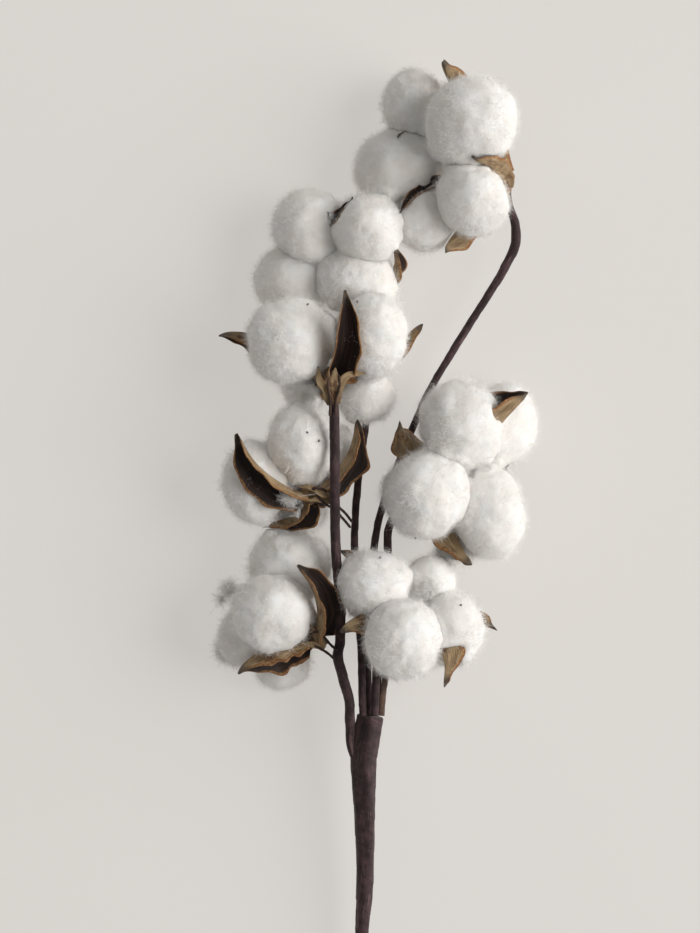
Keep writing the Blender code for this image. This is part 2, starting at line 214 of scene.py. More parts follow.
# %% Cotton materials
def make_cotton():
    material, tree, shader = start_material(
        "cotton_lint",
        Roughness=0.95,
        Subsurface_Weight=0.6,
        Subsurface_Radius=(1.0, 0.93, 0.86),
        Subsurface_Scale=0.0022,
        Sheen_Weight=0.25,
        Sheen_Roughness=0.6,
        Specular_IOR_Level=0.1,
    )
    place = object_place(tree)
    clouds = streaks(tree, place, (1, 1, 1), 110, 5)
    shade = ramp(tree, clouds, 0.3, 0.7)
    tint = mix_colours(tree, shade, colour(0.86, 0.83, 0.79), colour(0.96, 0.95, 0.935))
    tree.links.new(tint, shader.inputs["Base Color"])
    threads = streaks(tree, place, (1, 2.2, 1.4), 900, 6)
    lumps = streaks(tree, place, (1, 1, 1), 330, 6)
    height = calculate(tree, "MULTIPLY_ADD", threads, 0.4, lumps)
    add_bump(tree, shader, height, 0.45, 0.0007)
    return material


def make_lint():
    material, tree, shader = start_material(
        "cotton_fibre", Roughness=0.9, Specular_IOR_Level=0.15, Sheen_Weight=0.2
    )
    place = object_place(tree)
    clouds = streaks(tree, place, (1, 1, 1), 150, 3)
    tint = mix_colours(tree, clouds, colour(0.93, 0.91, 0.88), colour(0.99, 0.985, 0.975))
    tree.links.new(tint, shader.inputs["Base Color"])
    return material


COTTON = make_cotton()
LINT = make_lint()
print("cotton materials:", COTTON.name, LINT.name)

# %% [markdown]
# ## Husk
# A dry bur is not one brown. The face that held the cotton is tan and smooth, the trough on the other
# side is almost black, the rims between them are worn to orange, and the tips weather to grey. The
# valve meshes carry three numbers at each vertex to tell those places apart: `trough` is 0 on the tan
# face and 1 in the trough, `across` runs from -1 to 1 between the rims, and `along` from foot to tip.

# %% Husk material
def make_husk():
    material, tree, shader = start_material("bur_husk", Specular_IOR_Level=0.35)
    place = object_place(tree)
    trough = read_attribute(tree, "trough").outputs["Fac"]
    along = read_attribute(tree, "along").outputs["Fac"]
    across = read_attribute(tree, "across").outputs["Fac"]
    sheet = add_node(tree, "ShaderNodeCombineXYZ", {0: across, 1: along, 2: trough}).outputs[0]
    fibres = streaks(tree, sheet, (7, 1.6, 2), 2.2, 5)
    blotches = streaks(tree, place, (1, 1, 1), 170, 4)
    fine = streaks(tree, place, (1, 1, 1), 900, 4)
    # the tan face, with darker fibres and blotches
    tan = mix_colours(
        tree, ramp(tree, fibres, 0.35, 0.65), colour(0.19, 0.12, 0.06), colour(0.48, 0.35, 0.20)
    )
    tan = mix_colours(tree, ramp(tree, blotches, 0.5, 0.72), tan, colour(0.10, 0.042, 0.02))
    # the trough, nearly black with brown ribs
    dark = mix_colours(
        tree, ramp(tree, fibres, 0.42, 0.7), colour(0.012, 0.006, 0.005), colour(0.055, 0.026, 0.016)
    )
    face = mix_colours(tree, ramp(tree, trough, 0.55, 0.8), tan, dark)
    # worn rims, broken up by the blotches
    edge = calculate(tree, "ABSOLUTE", across)
    wear_and_highlight = calculate(tree, "MULTIPLY_ADD", blotches, 0.22, edge)
    rim = mix_colours(
        tree, ramp(tree, fine, 0.4, 0.62), colour(0.24, 0.105, 0.04), colour(0.42, 0.235, 0.10)
    )
    face = mix_colours(tree, ramp(tree, wear_and_highlight, 0.99, 1.07), face, rim)
    # grey, weathered tips
    aged = calculate(tree, "MULTIPLY_ADD", fine, 0.2, along)
    tip = mix_colours(
        tree, ramp(tree, blotches, 0.4, 0.6), colour(0.055, 0.04, 0.03), colour(0.15, 0.115, 0.085)
    )
    face = mix_colours(tree, ramp(tree, aged, 0.92, 1.08), face, tip)
    tree.links.new(face, shader.inputs["Base Color"])
    drive_roughness(tree, shader, fibres, 0.45, 0.75)
    height = calculate(tree, "MULTIPLY_ADD", fine, 0.35, fibres)
    add_bump(tree, shader, height, 0.6, 0.0006)
    return material


HUSK_FINISH = make_husk()
print("husk material:", HUSK_FINISH.name)

# %% [markdown]
# ## Paper tape
# Florist's tape is stretched crepe paper, wound round the wires at a slant. Each turn covers the edge
# of the last one, so a thin line climbs the stem like a screw thread. The stem meshes store `unrolled`:
# where a vertex would be if the stem were straight. The angle round the stem plus the way along it,
# divided by the pitch, says how far across the tape a point lies. The colour paints the light on that
# thread: a painted shadow just below each turn's edge, and a painted highlight on the edge and on the
# raised creases.

# %% Tape material
TAPE_PITCH = 13 * MM


def make_tape(name, dark, light, wear_and_highlight, coarse):
    material, tree, shader = start_material(name, Specular_IOR_Level=0.3, Sheen_Weight=0.15)
    unrolled = read_attribute(tree, "unrolled").outputs["Vector"]
    parts = add_node(tree, "ShaderNodeSeparateXYZ", {0: unrolled})
    angle = calculate(tree, "ARCTAN2", parts.outputs[1], parts.outputs[0])
    turn = calculate(tree, "DIVIDE", angle, 2 * math.pi)
    climb = calculate(tree, "DIVIDE", parts.outputs[2], TAPE_PITCH)
    phase = calculate(tree, "FRACT", calculate(tree, "ADD", turn, climb))
    crepe = streaks(tree, unrolled, (1, 1, 0.22), 2600, 4)
    creases = streaks(tree, unrolled, (1, 1, 0.12), coarse, 5)
    mottle = streaks(tree, unrolled, (1, 1, 1), 260, 4)
    tint = mix_colours(tree, ramp(tree, mottle, 0.32, 0.7), dark, light)
    # painted highlight: where the crease noise is high the bump stands up, and the colour goes to the
    # lighter third tone
    tint = mix_colours(tree, ramp(tree, creases, 0.56, 0.72), tint, wear_and_highlight)
    # painted highlight along the raised edge of each turn, broken up by the mottle
    edge = calculate(tree, "MULTIPLY", ramp(tree, phase, 0.95, 0.995), ramp(tree, mottle, 0.4, 0.6))
    tint = mix_colours(tree, calculate(tree, "MULTIPLY", edge, 0.5), tint, wear_and_highlight)
    # painted shadow: just past each turn's edge, at the foot of the step, the colour goes nearly black
    # where the turn above shades the one below
    painted_shadow_under_edge = calculate(tree, "SUBTRACT", 1.0, ramp(tree, phase, 0.0, 0.05))
    tint = mix_colours(tree, calculate(tree, "MULTIPLY", painted_shadow_under_edge, 0.6), tint, colour(0.012, 0.007, 0.007))
    tree.links.new(tint, shader.inputs["Base Color"])
    drive_roughness(tree, shader, crepe, 0.55, 0.85)
    height = calculate(tree, "MULTIPLY_ADD", crepe, 0.4, creases)
    add_bump(tree, shader, height, 0.6, 0.0005)
    return material


# Each finish: a dark and a light tone, the lighter tone of its painted highlights, and the scale of its
# creases
TAPE = make_tape(
    "stem_tape", colour(0.022, 0.011, 0.012), colour(0.07, 0.036, 0.039), colour(0.15, 0.09, 0.09), 700
)
BARK = make_tape(
    "stem_bark", colour(0.045, 0.024, 0.018), colour(0.12, 0.07, 0.048), colour(0.24, 0.16, 0.115), 900
)
WIRE_FINISH = make_tape(
    "florist_wire", colour(0.03, 0.016, 0.012), colour(0.07, 0.038, 0.026), colour(0.15, 0.085, 0.05), 1500
)
print("tape materials:", TAPE.name, BARK.name, WIRE_FINISH.name)

# %% [markdown]
# ## Pieces
# Every piece goes through one helper, which links it, lets it ride on the only body, and hides the
# CAD nodes it stands for.

# %% Piece helper
def link_object(name, data):
    """A new object in the scene."""
    made = bpy.data.objects.new(name, data)
    bpy.context.scene.collection.objects.link(made)
    return made


def add_piece(name, mesh, replaced=()):
    """A visible piece of the bunch."""
    piece = link_object(name, mesh)
    mesh.shade_smooth()
    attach(piece, "root")
    if replaced:
        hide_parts(*replaced)
    return piece


def make_mesh(name, points, faces, material, numbers=None):
    """A mesh with its faces turned outwards, and numbers or vectors stored at its vertices."""
    mesh = bpy.data.meshes.new(name)
    mesh.from_pydata(points, [], faces)
    shell = bmesh.new()
    shell.from_mesh(mesh)
    bmesh.ops.recalc_face_normals(shell, faces=shell.faces)
    shell.to_mesh(mesh)
    shell.free()
    mesh.materials.append(material)
    for key, values in (numbers or {}).items():
        values = np.array(values, np.float32)
        vector = values.ndim > 1
        stored = mesh.attributes.new(key, "FLOAT_VECTOR" if vector else "FLOAT", "POINT")
        stored.data.foreach_set("vector" if vector else "value", values.ravel())
    return mesh


def loft(rings, start):
    """Faces between rings of equally many points, numbered from `start`."""
    sides = len(rings[0])
    faces = []
    for i in range(len(rings) - 1):
        here = start + i * sides
        there = here + sides
        for k in range(sides):
            after = (k + 1) % sides
            faces.append((here + k, here + after, there + after, there + k))
    return faces


# %% [markdown]
# ## Cotton locks
# The CAD model gives each lock as a coarse, closed solid that already leaves room for its neighbours
# and for the valves. A voxel remesh turns it into even quads, smoothing rounds it like a pillow, and
# Geometry Nodes push it in and out with three sizes of noise. Sculpting thirty locks by hand would
# look no better from here, and noise in object space never repeats from lock to lock.

# %% Geometry Nodes helpers
def start_tree(name, inputs):
    """An empty Geometry Nodes tree with named inputs, and its two end nodes."""
    tree = bpy.data.node_groups.new(name, "GeometryNodeTree")
    tree.is_modifier = True
    tree.interface.new_socket("Geometry", in_out="INPUT", socket_type="NodeSocketGeometry")
    for label, kind in inputs:
        tree.interface.new_socket(label, in_out="INPUT", socket_type=kind)
    tree.interface.new_socket("Geometry", in_out="OUTPUT", socket_type="NodeSocketGeometry")
    return tree, tree.nodes.new("NodeGroupInput"), tree.nodes.new("NodeGroupOutput")


def run_tree(obj, tree, values):
    modifier = obj.modifiers.new(tree.name, "NODES")
    modifier.node_group = tree
    for item in tree.interface.items_tree:
        if item.in_out == "INPUT" and item.name in values:
            modifier[item.identifier] = values[item.name]


def plain_mesh(obj, name):
    """What the modifiers make, as a plain mesh. The modifiers are then removed."""
    bpy.context.view_layer.update()
    graph = bpy.context.evaluated_depsgraph_get()
    mesh = bpy.data.meshes.new_from_object(obj.evaluated_get(graph), depsgraph=graph)
    mesh.name = name
    obj.modifiers.clear()
    return mesh


# %% [markdown]
# The lumps come in three sizes: the swells of a pulled lock, its clumps, and their finer folds.

# %% Lumps tree
LUMPS = ((62, 0.0042), (160, 0.0022), (430, 0.0005))  # noise scale per metre, and full swing
PLUMP = 0.0004  # makes good most of what the smoothing takes off


def make_lumps_tree():
    tree, start, end = start_tree("Cotton lumps", [("Material", "NodeSocketMaterial")])
    place = tree.nodes.new("GeometryNodeInputPosition").outputs[0]
    height = None
    for scale, swing in LUMPS:
        cloud = add_node(
            tree, "ShaderNodeTexNoise", {"Vector": place, "Scale": scale, "Detail": 2.0}
        ).outputs[0]
        swung = calculate(tree, "MULTIPLY", calculate(tree, "SUBTRACT", cloud, 0.5), swing)
        height = calculate(tree, "ADD", swung, PLUMP if height is None else height)
    push = add_node(
        tree,
        "ShaderNodeVectorMath",
        {0: tree.nodes.new("GeometryNodeInputNormal").outputs[0]},
        operation="SCALE",
    )
    tree.links.new(height, push.inputs["Scale"])
    moved = add_node(
        tree, "GeometryNodeSetPosition", {"Geometry": start.outputs[0], "Offset": push.outputs[0]}
    )
    clear = keep_above_floor(tree, moved.outputs[0])
    painted = add_node(
        tree,
        "GeometryNodeSetMaterial",
        {"Geometry": clear, "Material": start.outputs["Material"]},
    )
    tree.links.new(painted.outputs[0], end.inputs[0])
    return tree


def keep_above_floor(tree, geometry):
    """Lifts whatever would sink below z = 0."""
    parts = add_node(
        tree,
        "ShaderNodeSeparateXYZ",
        {0: tree.nodes.new("GeometryNodeInputPosition").outputs[0]},
    )
    height = calculate(tree, "MAXIMUM", parts.outputs[2], 0.0)
    place = add_node(tree, "ShaderNodeCombineXYZ", {0: parts.outputs[0], 1: parts.outputs[1], 2: height})
    return add_node(
        tree, "GeometryNodeSetPosition", {"Geometry": geometry, "Position": place.outputs[0]}
    ).outputs[0]


LUMPS_TREE = make_lumps_tree()
print("tree:", LUMPS_TREE.name, "with", len(LUMPS_TREE.nodes), "nodes")

# %% Lock bodies
LOCK_VOXEL = 1.15 * MM
LOCK_SMOOTHING = 34  # rounds, each by this share of the way
LOCK_SMOOTHING_SHARE = 0.7
SAME_PLACE = 0.01 * MM  # vertices nearer than this are one


def make_lock_body(node):
    """A soft, even mesh made from the CAD solid of one lock."""
    mesh = NODES[node].data.copy()
    shell = bmesh.new()
    shell.from_mesh(mesh)
    bmesh.ops.remove_doubles(shell, verts=shell.verts, dist=SAME_PLACE)
    shell.to_mesh(mesh)
    shell.free()
    mesh.materials.clear()
    source = link_object("lock_source", mesh)
    even = source.modifiers.new("even", "REMESH")
    even.mode = "VOXEL"
    even.voxel_size = LOCK_VOXEL
    soft = source.modifiers.new("soft", "SMOOTH")
    soft.factor = LOCK_SMOOTHING_SHARE
    soft.iterations = LOCK_SMOOTHING
    run_tree(source, LUMPS_TREE, {"Material": COTTON})
    body = plain_mesh(source, node + "_cotton")
    bpy.data.objects.remove(source)
    bpy.data.meshes.remove(mesh)
    return body


LOCK_NODES = sorted(name for name in NODES if "_lock_" in name)
LOCK_MESHES = {node: make_lock_body(node) for node in LOCK_NODES}
print("lock meshes:", len(LOCK_MESHES))

# %% [markdown]
# Locks in a boll press on each other, so the smoothed grooves between them have to close. From each
# vertex a ray goes out along its normal. Where it meets a neighbour within a few millimetres, the
# vertex moves over half way, up to a limit, and the neighbour's does the same. So they press in a
# little, as soft things do.

# %% Press the locks together
PRESS_REACH = 6.5 * MM  # how far the rays look
PRESS_MOST = 2.8 * MM
PRESS_SHARE = 0.6  # of the gap
PRESS_ROUNDS = 6  # of averaging over the edges


def spread_over_edges(mesh, values):
    """Averages each vertex's value with its neighbours', so that no step between them shows."""
    ends = np.array([edge.vertices[:] for edge in mesh.edges])
    values = np.array(values, float)
    count = np.bincount(ends.ravel(), minlength=len(values))
    for _ in range(PRESS_ROUNDS):
        total = np.bincount(ends[:, 0], values[ends[:, 1]], len(values))
        total += np.bincount(ends[:, 1], values[ends[:, 0]], len(values))
        values = 0.5 * values + 0.5 * total / count
    return values


def surface_tree(mesh):
    """A tree that finds where rays meet the mesh."""
    return BVHTree.FromPolygons([v.co for v in mesh.vertices], [p.vertices for p in mesh.polygons])


def press_locks(meshes):
    """Moves every lock's surface towards its neighbours, and counts the vertices that moved."""
    trees = {}
    for node, mesh in meshes.items():
        box = [[f(v.co[axis] for v in mesh.vertices) for axis in range(3)] for f in (min, max)]
        trees[node] = (surface_tree(mesh), box)
    moves = {}
    for node, mesh in meshes.items():
        low, high = trees[node][1]
        near = [
            tree
            for other, (tree, box) in trees.items()
            if other != node
            and all(
                box[0][a] < high[a] + PRESS_REACH and box[1][a] > low[a] - PRESS_REACH
                for a in range(3)
            )
        ]
        moves[node] = []
        for vertex in mesh.vertices:
            hits = [tree.ray_cast(vertex.co, vertex.normal, PRESS_REACH)[3] for tree in near]
            gap = min((hit for hit in hits if hit is not None), default=None)
            step = 0 if gap is None else min(PRESS_SHARE * gap, PRESS_MOST)
            moves[node].append(step)
    for node, mesh in meshes.items():
        steps = spread_over_edges(mesh, moves[node])
        for vertex, step in zip(mesh.vertices, steps):
            vertex.co += float(step) * vertex.normal
            vertex.co.z = max(vertex.co.z, 0)
    return sum(step > 0 for steps in moves.values() for step in steps)


print("pressed vertices:", press_locks(LOCK_MESHES))
LOCKS = {}
for node in LOCK_NODES:
    LOCKS[node] = add_piece(node + "_cotton", LOCK_MESHES[node], [node])
print("lock bodies:", len(LOCKS), "with", sum(len(o.data.polygons) for o in LOCKS.values()), "faces")

# %% [markdown]
# Between the locks, and over the feet of some valves, lie small loose tufts that belong to no lock.
# Each has a small core, a ball pushed about by the same noise, and later takes longer, closer fuzz.

# %% Loose tufts
# Centre x, y, z and half sizes, in millimetres
TUFTS = (
    (-34.5, 67.0, 42.5, 6.5, 3.6, 2.4),
    (-31.5, 60.0, 37.0, 3.0, 5.0, 2.2),
    (-59.6, 30.0, 25.0, 4.6, 6.5, 4.0),
    (-62.6, 25.0, 23.0, 3.0, 3.4, 3.0),
    (-61.0, 4.0, 16.0, 3.4, 4.2, 3.4),
    (40.5, 80.0, 41.0, 5.5, 3.6, 3.5),
    (20.5, 31.0, 42.0, 4.5, 4.0, 3.0),
    (-26.5, 106.5, 36.0, 5.0, 3.6, 3.0),
    (-17.5, 93.0, 30.0, 4.0, 5.0, 3.0),
    (-60.5, 72.0, 24.0, 3.4, 4.4, 3.4),
)
TUFT_FACETS = 4  # subdivisions of the ball
TUFT_CORE = 0.3  # size of the core, as a share of the tuft. Fuzz makes up the rest
TUFT_RAGGED = 0.45


def make_ball(name, facets, placed):
    """A mesh that starts as a ball of radius 1, with each vertex sent to placed(vertex)."""
    mesh = bpy.data.meshes.new(name)
    ball = bmesh.new()
    bmesh.ops.create_icosphere(ball, subdivisions=facets, radius=1.0)
    for vertex in ball.verts:
        vertex.co = placed(vertex.co)
    ball.to_mesh(mesh)
    ball.free()
    return mesh


def make_tuft(number, tuft):
    """The core of one tuft."""

    def placed(way):
        ragged = 1 + TUFT_RAGGED * noise.noise(1.7 * way + Vector((0, 0, 9.1 * number)))
        spoke = TUFT_CORE * ragged * Vector(c * h for c, h in zip(way, tuft[3:]))
        return (Vector(tuft[:3]) + spoke) * MM

    source = link_object("tuft_source", make_ball("tuft_source", TUFT_FACETS, placed))
    run_tree(source, LUMPS_TREE, {"Material": COTTON})
    body = plain_mesh(source, f"tuft_{number}_cotton")
    bpy.data.objects.remove(source)
    return add_piece(body.name, body)


for number, tuft in enumerate(TUFTS, 1):
    LOCKS[f"tuft_{number}"] = make_tuft(number, tuft)
print("tufts:", len(TUFTS))

# %% [markdown]
# A few crumbs of seed coat are caught in the lint. A ray from above finds the cotton at each place, and
# a small, flattened ball is set just above it, among the fibres.

# %% Seed specks
SPECKS = ((-7.9, 144.2), (-27.6, 143.2), (-27.8, 92.4), (-23.1, 89.0), (33.2, 23.8), (1.2, 42.6))
SPECK = (0.55, 0.42, 0.3)  # half sizes
SPECK_FACETS = 2
SPECK_PROUD = 0.7  # how far it stands off the body of the lock, among the fibres
SEED_COAT, _, _ = start_material("seed_coat", Base_Color=colour(0.035, 0.02, 0.014), Roughness=0.6)
COTTON_TREES = [surface_tree(lock.data) for lock in LOCKS.values()]


def make_speck(number, x, y):
    """One crumb of seed coat, on whatever cotton is highest at (x, y)."""
    above, down = Vector((x, y, 100)) * MM, Vector((0, 0, -1))
    hits = [tree.ray_cast(above, down)[0] for tree in COTTON_TREES]
    place = max((hit for hit in hits if hit), key=lambda hit: hit.z) - SPECK_PROUD * MM * down
    turn = Euler((0, 0, 1.9 * number)).to_matrix()

    def placed(way):
        rough = 1 + 0.3 * noise.noise(2 * way + Vector((number, 0, 0)))
        return place + rough * MM * (turn @ Vector(c * h for c, h in zip(way, SPECK)))

    mesh = make_ball(f"seed_speck_{number}", SPECK_FACETS, placed)
    mesh.materials.append(SEED_COAT)
    add_piece(mesh.name, mesh)


for number, (x, y) in enumerate(SPECKS, 1):
    make_speck(number, x, y)
print("seed specks:", len(SPECKS))

# %% [markdown]
# ## Burs
# A boll splits into four or five boat-shaped valves that grow from one knob, the calyx. Each valve is a
# trough that opens outwards, with a keel bent over the cotton. The CAD model draws them with a few
# stations. The same curve is followed here with many, and the shell gets ribs, a wavy, rounded rim and
# a hooked tip. A valve is a loft of closed cross-sections, so it is closed from the start.

# %% Valve shapes
HUSK = 1.0  # thickness of a valve, in millimetres
VALVE_CUP = 1.35  # depth of the trough, as a share of the half width
VALVE_ROUND = 1.7  # 1 makes the trough a V, and more makes it a rounder U
VALVE_FOOT = 0.2  # how far along its swelling curve a valve starts
VALVE_POINT = 0.06  # width at the tip, as a share of the widest
VALVE_START = 1.4  # from the centre of the calyx to the foot of a valve
CALYX = (4.4, 4.4, 3.4)  # half sizes of the knob that the valves grow from

# The calyx and its valves, in millimetres. A valve has the middle and tip of its keel, the way that
# its trough opens, and half its greatest width.
BURS = {
    "top": {
        "calyx": (50, 195, 27),
        "valves": (
            ((34, 225, 25), (26.4, 239.2, 36), (0.2, 0.75, -0.55), 5.8),
            ((46.5, 197.2, 43), (37.2, 200.2, 51), (0.45, 0.35, -0.75), 3.4),
            ((33, 175, 29), (27, 165.8, 35), (0.35, -0.8, -0.45), 4.8),
            ((22, 190, 28), (9.2, 179.4, 35), (-0.45, 0.4, 0.75), 2.8),
            ((22, 212, 20), (7, 211.5, 28), (-0.3, 0.2, 0.9), 2.8),
        ),
    },
    "upper_left": {
        "calyx": (-18.5, 115, 38.5),
        "valves": (
            ((-13.4, 129, 51.5), (-13.0, 148.4, 56), (0.25, 0, 0.97), 5.6),
            ((-42, 130, 24), (-63.8, 132.4, 37), (-0.5, -0.8, 0.25), 7.4),
            ((4.5, 126.5, 26), (17, 136.6, 41), (0.7, -0.7, 0), 4.8),
            ((-18, 111, 28), (-17, 110, 16), (0, -1, 0.1), 3.6),
        ),
    },
    "upper_back": {
        "calyx": (-18, 161, 7),
        "valves": (
            ((-15, 175, 28), (-8.6, 185.8, 38), (-0.65, 0.45, 0.6), 2.8),
            ((3.6, 156.6, 24), (5.6, 167.4, 36), (0.9, -0.2, 0.3), 3.6),
            ((-30, 165, 8), (-35, 165, 14), (-1, 0.2, 0.1), 3.6),
            ((-24, 151, 8), (-25, 147, 14), (0, -1, 0.1), 3.6),
        ),
    },
    "middle_left": {
        "calyx": (-27.5, 67, 37),
        "valves": (
            ((-46.2, 77.5, 41.5), (-54.9, 92.4, 45), (-0.6, -0.3, 0.74), 6.2),
            ((-12.8, 82, 31), (-9.2, 97.8, 35), (0.85, -0.15, 0.45), 5.6),
            ((-33, 59.5, 30), (-46, 56, 23), (0.35, -0.8, 0.4), 4.8),
            ((-21, 70, 20), (-22, 73, 8), (0.8, -0.5, 0), 3.8),
        ),
    },
    "lower_left": {
        "calyx": (-24.6, 10.8, 32),
        "valves": (
            ((-24.6, 27.5, 40), (-32.6, 38.8, 44), (0.6, 0.3, 0.75), 6.4),
            ((-42, 7.5, 30), (-56.8, -3, 36), (0.1, -0.93, 0.3), 7.8),
            ((-40, 28, 12), (-53, 27, 14), (-0.2, 0.7, -0.6), 3.8),
            ((-41, 3, 15), (-52, 0, 9), (-0.3, -0.5, -0.8), 3.8),
        ),
    },
    "right": {
        "calyx": (35, 77, 9),
        "valves": (
            ((15.8, 85, 32), (9.8, 96, 43), (-0.8, 0.5, -0.2), 5.8),
            ((50.5, 96.8, 38), (60, 106.8, 43), (-0.65, 0.65, 0.35), 7.0),
            ((32.5, 52.5, 32), (38.4, 41.4, 41), (-0.5, -0.8, 0.05), 6.0),
            ((48, 78, 12), (51, 78, 18.5), (0.9, 0, -0.2), 3.6),
            ((21, 60, 13), (17, 51, 21), (-0.5, -0.6, -0.5), 3.8),
        ),
    },
    "lower_right": {
        "calyx": (13, 20, 18),
        "valves": (
            ((-4, 20.5, 44), (-15.4, 13.4, 51), (-0.5, -0.75, 0.35), 6.8),
            ((25.2, 6.5, 46), (25.4, -8.6, 50), (0.7, -0.6, 0.3), 6.0),
            ((35, 19, 21), (46.6, 13.6, 31), (0.5, 0, -0.8), 3.4),
            ((-2, 37, 22), (-14, 44.2, 33), (-0.5, 0.5, -0.7), 3.6),
        ),
    },
}

STATIONS = 44  # cross-sections along a valve
COLUMNS = 17  # points across each of its two faces
HOOK_START = 0.86  # how far along a valve its hooked tip begins
HOOK_RISE = 1.3
RIM_WAVE = 0.32
RIM_CURL = 1.2
RIM_THINNER = 0.35
LIP = 0.3


def valve_width(t):
    """Half width of a valve at t from foot to tip, as a share of its widest."""
    swell = math.sin(math.pi * min(1, VALVE_FOOT + (1 - VALVE_FOOT) * t))
    return VALVE_POINT + (1 - VALVE_POINT) * swell


def valve_rings(knob, valve, seed):
    """Closed cross-sections of one valve, with the three numbers of each point."""
    middle, tip, opening, half_width = Vector(valve[0]), Vector(valve[1]), Vector(valve[2]), valve[3]
    foot = knob + VALVE_START * (middle - knob).normalized()
    pull = 2 * middle - (foot + tip) / 2
    beside = (tip - foot).cross(opening).normalized()
    rings, marks = [], []
    for i in range(STATIONS + 1):
        t = i / STATIONS
        centre = (1 - t) ** 2 * foot + 2 * t * (1 - t) * pull + t**2 * tip
        along = (2 * (1 - t) * (pull - foot) + 2 * t * (tip - pull)).normalized()
        out = beside.cross(along).normalized()
        hook = max(0, t - HOOK_START) / (1 - HOOK_START)
        centre += HOOK_RISE * hook**2 * out
        near, far = [], []
        for k in range(COLUMNS):
            v = 2 * k / (COLUMNS - 1) - 1
            side = 1 if v > 0 else -1
            wave = noise.noise(Vector((4.5 * t, 2.0 * side, seed)))
            curl = noise.noise(Vector((7 * t, 3.0 * side, seed + 5)))
            width = half_width * valve_width(t) * (1 + RIM_WAVE * wave * abs(v))
            rise = VALVE_CUP * width * abs(v) ** VALVE_ROUND + RIM_CURL * curl * abs(v) ** 3
            rib = 0.16 * noise.noise(Vector((3.2 * v, 1.2 * t, seed + 9)))
            rib += 0.09 * noise.noise(Vector((9 * v, 2.5 * t, seed + 13)))
            fade = 1 - 0.75 * hook  # thinner towards the tip
            thick = (HUSK - RIM_THINNER * abs(v) ** 4) * fade
            place = centre + v * width * beside + rise * out
            near.append((place + rib * out, 0.0, v))
            far.append((place + (thick + 1.6 * rib) * out, 1.0, v))
        ring = near + [lip(near[-1], far[-1], beside, 1)] + far[::-1] + [lip(near[0], far[0], beside, -1)]
        rings.append([p for p, _, _ in ring])
        marks += [(trough, v, t) for _, trough, v in ring]
    return rings, marks


def lip(near, far, beside, side):
    """The round edge of the shell, half way between its two faces."""
    return (near[0] + far[0]) / 2 + LIP * side * beside, 0.5, float(side)


# %% A smooth path
def smooth_path(points, step):
    """Points every `step` or less on a Catmull-Rom curve through the given ones."""
    points = [Vector(p) for p in points]
    ends = [2 * points[0] - points[1], *points, 2 * points[-1] - points[-2]]
    path = []
    for a, b, c, d in zip(ends, ends[1:], ends[2:], ends[3:]):
        count = max(1, round((c - b).length / step))
        for i in range(count):
            t = i / count
            linear, square, cube = c - a, 2 * a - 5 * b + 4 * c - d, 3 * b - 3 * c + d - a
            path.append(0.5 * (2 * b + linear * t + square * t**2 + cube * t**3))
    return [*path, points[-1]]


# %% [markdown]
# The knob is a ball with two sizes of wrinkle. Lofts end in fans, so each part of a bur is closed.

# %% Calyx shapes
KNOB_TURNS = 36
KNOB_RINGS = 20
KNOB_SHARE = 0.86  # size of the wrinkled knob, as a share of the CAD's


def knob_points(knob, seed):
    """The knob that the valves grow from: a wrinkled ball."""
    rings = []
    for j in range(1, KNOB_RINGS):
        polar = math.pi * j / KNOB_RINGS
        ring = []
        for k in range(KNOB_TURNS):
            turn = 2 * math.pi * k / KNOB_TURNS
            way = Vector(
                (math.sin(polar) * math.cos(turn), math.sin(polar) * math.sin(turn), math.cos(polar))
            )
            bulge = 1 + 0.10 * noise.noise(3 * way + Vector((0, 0, seed)))
            bulge += 0.05 * noise.noise(9 * way + Vector((seed, 0, 0)))
            ring.append(knob + KNOB_SHARE * bulge * Vector(w * h for w, h in zip(way, CALYX)))
        rings.append(ring)
    return rings


def close_ends(rings, start, count):
    """Fans over the first and last ring, to the points numbered `count` and `count + 1`."""
    sides = len(rings[0])
    last = start + (len(rings) - 1) * sides
    faces = []
    for k in range(sides):
        after = (k + 1) % sides
        faces.append((count, start + after, start + k))
        faces.append((count + 1, last + k, last + after))
    return faces


def add_closed(points, faces, numbers, rings, marks):
    """Adds a loft with closed ends to a mesh in the making."""
    start = len(points)
    flat = [p for ring in rings for p in ring]
    ends = [sum(ring, Vector()) / len(ring) for ring in (rings[0], rings[-1])]
    points += [p * MM for p in flat + ends]
    faces += loft(rings, start)
    faces += close_ends(rings, start, start + len(flat))
    numbers += marks + [marks[0], marks[-1]]


# %% [markdown]
# Below the valves the dry base of the boll peels off in narrow strips, the bracts. Four burs show
# them, where they meet their branch. Each is a thin leaf along three or four places.

